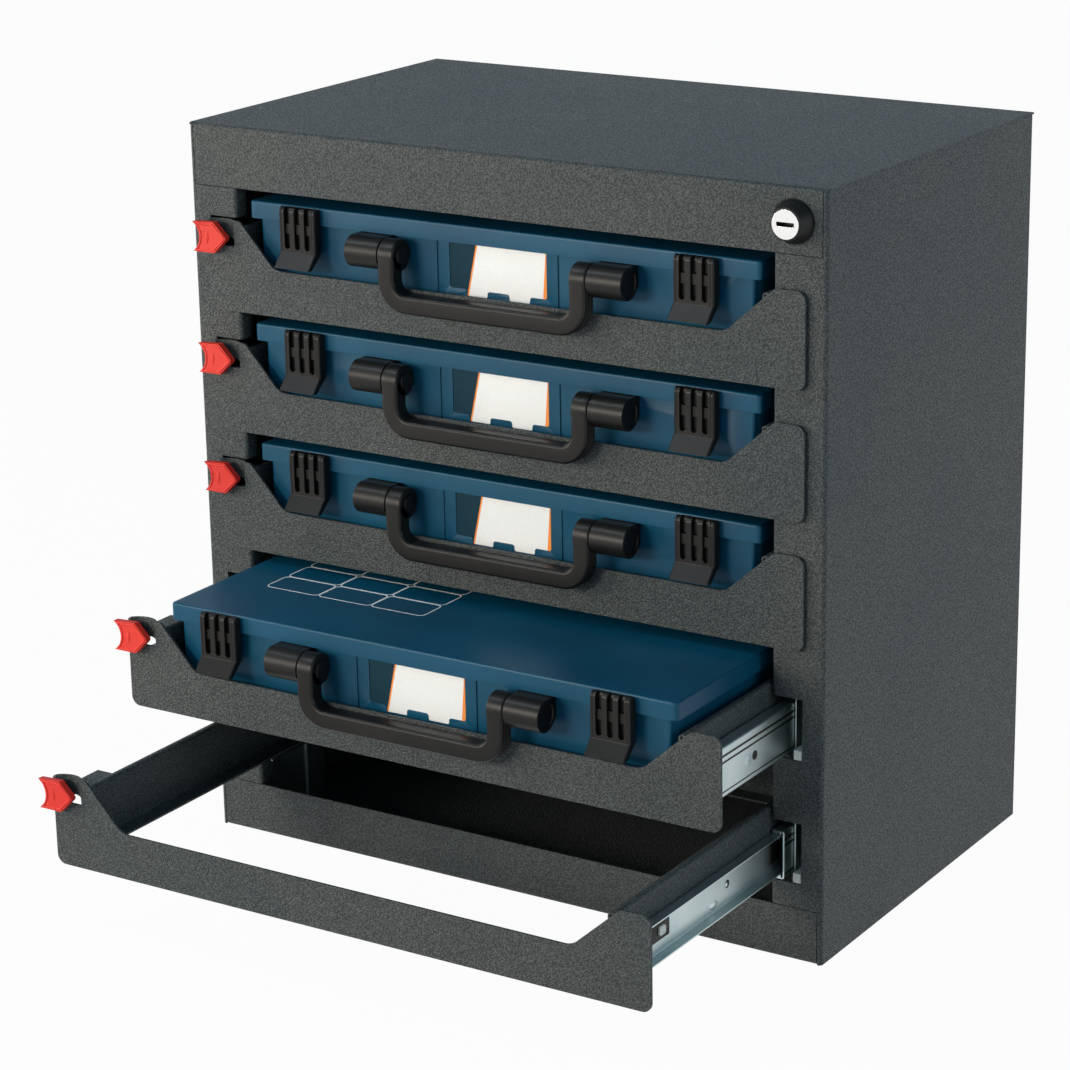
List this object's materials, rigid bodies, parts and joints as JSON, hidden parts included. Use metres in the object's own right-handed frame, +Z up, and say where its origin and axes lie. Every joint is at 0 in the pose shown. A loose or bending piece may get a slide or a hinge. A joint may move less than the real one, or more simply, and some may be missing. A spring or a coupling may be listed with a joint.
{
  "type": "assortment case tower",
  "caption": "Sheet-steel tower with sliding trays on ball slides, red thumb levers, a cylinder lock and latched carrying cases for small parts.",
  "frame": {"origin": "centre of the cabinet's base, on the floor", "axes": "+Z up, front towards -Y, +X to the right as seen from the front"},
  "size_m": [0.51, 0.5242, 0.535],
  "materials": {
    "powder_coat": "fine-textured anthracite powder coat",
    "zinc_steel": "bright zinc plating",
    "black_plastic": "moulded satin",
    "blue_plastic": "moulded satin gloss",
    "red_plastic": "moulded satin",
    "white_nylon": "natural nylon",
    "lock_chrome": "polished"
  },
  "bodies": {
    "cabinet": {"side_panel_left": "powder_coat", "side_panel_right": "powder_coat", "top_panel": "powder_coat", "base_plinth": "powder_coat", "back_panel": "powder_coat", "slide_posts": "zinc_steel", "slide_outers": "zinc_steel", "lock_collar": "black_plastic"},
    "lock_barrel": {"lock_barrel": "lock_chrome"},
    "lock_bar": {"lock_bar": "zinc_steel", "lock_catches": "white_nylon"},
    "slide_middle_1": {"slide_middle_1": "zinc_steel"},
    "drawer_1": {"front_plate_1": "powder_coat", "tray_frame_1": "powder_coat", "slide_inner_1": "zinc_steel", "case_base_1": "blue_plastic", "case_lid_1": "blue_plastic", "handle_mounts_1": "black_plastic"},
    "lever_1": {"catch_lever_1": "red_plastic"},
    "handle_1": {"handle_1": "black_plastic"},
    "latch_left_1": {"latch_left_1": "black_plastic"},
    "latch_right_1": {"latch_right_1": "black_plastic"},
    "slide_middle_2": {"slide_middle_2": "zinc_steel"},
    "drawer_2": {"front_plate_2": "powder_coat", "tray_frame_2": "powder_coat", "slide_inner_2": "zinc_steel", "case_base_2": "blue_plastic", "case_lid_2": "blue_plastic", "handle_mounts_2": "black_plastic"},
    "lever_2": {"catch_lever_2": "red_plastic"},
    "handle_2": {"handle_2": "black_plastic"},
    "latch_left_2": {"latch_left_2": "black_plastic"},
    "latch_right_2": {"latch_right_2": "black_plastic"},
    "slide_middle_3": {"slide_middle_3": "zinc_steel"},
    "drawer_3": {"front_plate_3": "powder_coat", "tray_frame_3": "powder_coat", "slide_inner_3": "zinc_steel", "case_base_3": "blue_plastic", "case_lid_3": "blue_plastic", "handle_mounts_3": "black_plastic"},
    "lever_3": {"catch_lever_3": "red_plastic"},
    "handle_3": {"handle_3": "black_plastic"},
    "latch_left_3": {"latch_left_3": "black_plastic"},
    "latch_right_3": {"latch_right_3": "black_plastic"},
    "slide_middle_4": {"slide_middle_4": "zinc_steel"},
    "drawer_4": {"front_plate_4": "powder_coat", "tray_frame_4": "powder_coat", "slide_inner_4": "zinc_steel", "case_base_4": "blue_plastic", "case_lid_4": "blue_plastic", "handle_mounts_4": "black_plastic"},
    "lever_4": {"catch_lever_4": "red_plastic"},
    "handle_4": {"handle_4": "black_plastic"},
    "latch_left_4": {"latch_left_4": "black_plastic"},
    "latch_right_4": {"latch_right_4": "black_plastic"},
    "slide_middle_5": {"slide_middle_5": "zinc_steel"},
    "drawer_5": {"front_plate_5": "powder_coat", "tray_frame_5": "powder_coat", "slide_inner_5": "zinc_steel"},
    "lever_5": {"catch_lever_5": "red_plastic"}
  },
  "joints": [
    {"name": "lock_turn", "type": "hinge", "parent": "cabinet", "child": "lock_barrel", "pos_m": [0.2305, -0.1575, 0.5124], "axis": [0, -1, 0], "range_deg": [0, 90]},
    {"name": "lock_bar_lift", "type": "slide", "parent": "cabinet", "child": "lock_bar", "axis": [0, 0, 1], "range_m": [0, 0.008]},
    {"name": "middle_slide_1", "type": "slide", "parent": "cabinet", "child": "slide_middle_1", "axis": [0, -1, 0], "range_m": [0, 0.12]},
    {"name": "drawer_slide_1", "type": "slide", "parent": "slide_middle_1", "child": "drawer_1", "axis": [0, -1, 0], "range_m": [0, 0.2]},
    {"name": "lever_swing_1", "type": "hinge", "parent": "drawer_1", "child": "lever_1", "pos_m": [-0.23602, -0.1267, 0.454], "axis": [0, 0, 1], "range_deg": [0, 5], "stiffness_Nm_per_rad": 0.1},
    {"name": "handle_swing_1", "type": "hinge", "parent": "drawer_1", "child": "handle_1", "pos_m": [0, -0.1631, 0.4591], "axis": [-1, 0, 0], "range_deg": [0, 95]},
    {"name": "latch_swing_left_1", "type": "hinge", "parent": "drawer_1", "child": "latch_left_1", "pos_m": [-0.15955, -0.159, 0.4792], "axis": [-1, 0, 0], "range_deg": [0, 80]},
    {"name": "latch_swing_right_1", "type": "hinge", "parent": "drawer_1", "child": "latch_right_1", "pos_m": [0.15955, -0.159, 0.4792], "axis": [-1, 0, 0], "range_deg": [0, 80]},
    {"name": "middle_slide_2", "type": "slide", "parent": "cabinet", "child": "slide_middle_2", "axis": [0, -1, 0], "range_m": [0, 0.12]},
    {"name": "drawer_slide_2", "type": "slide", "parent": "slide_middle_2", "child": "drawer_2", "axis": [0, -1, 0], "range_m": [0, 0.2]},
    {"name": "lever_swing_2", "type": "hinge", "parent": "drawer_2", "child": "lever_2", "pos_m": [-0.23602, -0.1267, 0.365], "axis": [0, 0, 1], "range_deg": [0, 5], "stiffness_Nm_per_rad": 0.1},
    {"name": "handle_swing_2", "type": "hinge", "parent": "drawer_2", "child": "handle_2", "pos_m": [0, -0.1631, 0.3701], "axis": [-1, 0, 0], "range_deg": [0, 95]},
    {"name": "latch_swing_left_2", "type": "hinge", "parent": "drawer_2", "child": "latch_left_2", "pos_m": [-0.15955, -0.159, 0.3902], "axis": [-1, 0, 0], "range_deg": [0, 80]},
    {"name": "latch_swing_right_2", "type": "hinge", "parent": "drawer_2", "child": "latch_right_2", "pos_m": [0.15955, -0.159, 0.3902], "axis": [-1, 0, 0], "range_deg": [0, 80]},
    {"name": "middle_slide_3", "type": "slide", "parent": "cabinet", "child": "slide_middle_3", "axis": [0, -1, 0], "range_m": [0, 0.12]},
    {"name": "drawer_slide_3", "type": "slide", "parent": "slide_middle_3", "child": "drawer_3", "axis": [0, -1, 0], "range_m": [0, 0.2]},
    {"name": "lever_swing_3", "type": "hinge", "parent": "drawer_3", "child": "lever_3", "pos_m": [-0.23602, -0.1267, 0.276], "axis": [0, 0, 1], "range_deg": [0, 5], "stiffness_Nm_per_rad": 0.1},
    {"name": "handle_swing_3", "type": "hinge", "parent": "drawer_3", "child": "handle_3", "pos_m": [0, -0.1631, 0.2811], "axis": [-1, 0, 0], "range_deg": [0, 95]},
    {"name": "latch_swing_left_3", "type": "hinge", "parent": "drawer_3", "child": "latch_left_3", "pos_m": [-0.15955, -0.159, 0.3012], "axis": [-1, 0, 0], "range_deg": [0, 80]},
    {"name": "latch_swing_right_3", "type": "hinge", "parent": "drawer_3", "child": "latch_right_3", "pos_m": [0.15955, -0.159, 0.3012], "axis": [-1, 0, 0], "range_deg": [0, 80]},
    {"name": "middle_slide_4", "type": "slide", "parent": "cabinet", "child": "slide_middle_4", "axis": [0, -1, 0], "range_m": [-0.11, 0.01]},
    {"name": "drawer_slide_4", "type": "slide", "parent": "slide_middle_4", "child": "drawer_4", "axis": [0, -1, 0], "range_m": [0, 0.2]},
    {"name": "lever_swing_4", "type": "hinge", "parent": "drawer_4", "child": "lever_4", "pos_m": [-0.23602, -0.2367, 0.187], "axis": [0, 0, 1], "range_deg": [0, 5], "stiffness_Nm_per_rad": 0.1},
    {"name": "handle_swing_4", "type": "hinge", "parent": "drawer_4", "child": "handle_4", "pos_m": [0, -0.2731, 0.1921], "axis": [-1, 0, 0], "range_deg": [0, 95]},
    {"name": "latch_swing_left_4", "type": "hinge", "parent": "drawer_4", "child": "latch_left_4", "pos_m": [-0.15955, -0.269, 0.2122], "axis": [-1, 0, 0], "range_deg": [0, 80]},
    {"name": "latch_swing_right_4", "type": "hinge", "parent": "drawer_4", "child": "latch_right_4", "pos_m": [0.15955, -0.269, 0.2122], "axis": [-1, 0, 0], "range_deg": [0, 80]},
    {"name": "middle_slide_5", "type": "slide", "parent": "cabinet", "child": "slide_middle_5", "axis": [0, -1, 0], "range_m": [0, 0.12]},
    {"name": "drawer_slide_5", "type": "slide", "parent": "slide_middle_5", "child": "drawer_5", "axis": [0, -1, 0], "range_m": [-0.199, 0.001]},
    {"name": "lever_swing_5", "type": "hinge", "parent": "drawer_5", "child": "lever_5", "pos_m": [-0.23602, -0.3257, 0.098], "axis": [0, 0, 1], "range_deg": [0, 5], "stiffness_Nm_per_rad": 0.1}
  ],
  "couplings": [
    {"joint": "lock_turn", "follows": "lock_bar_lift", "rad_per_m": 196.3}
  ]
}
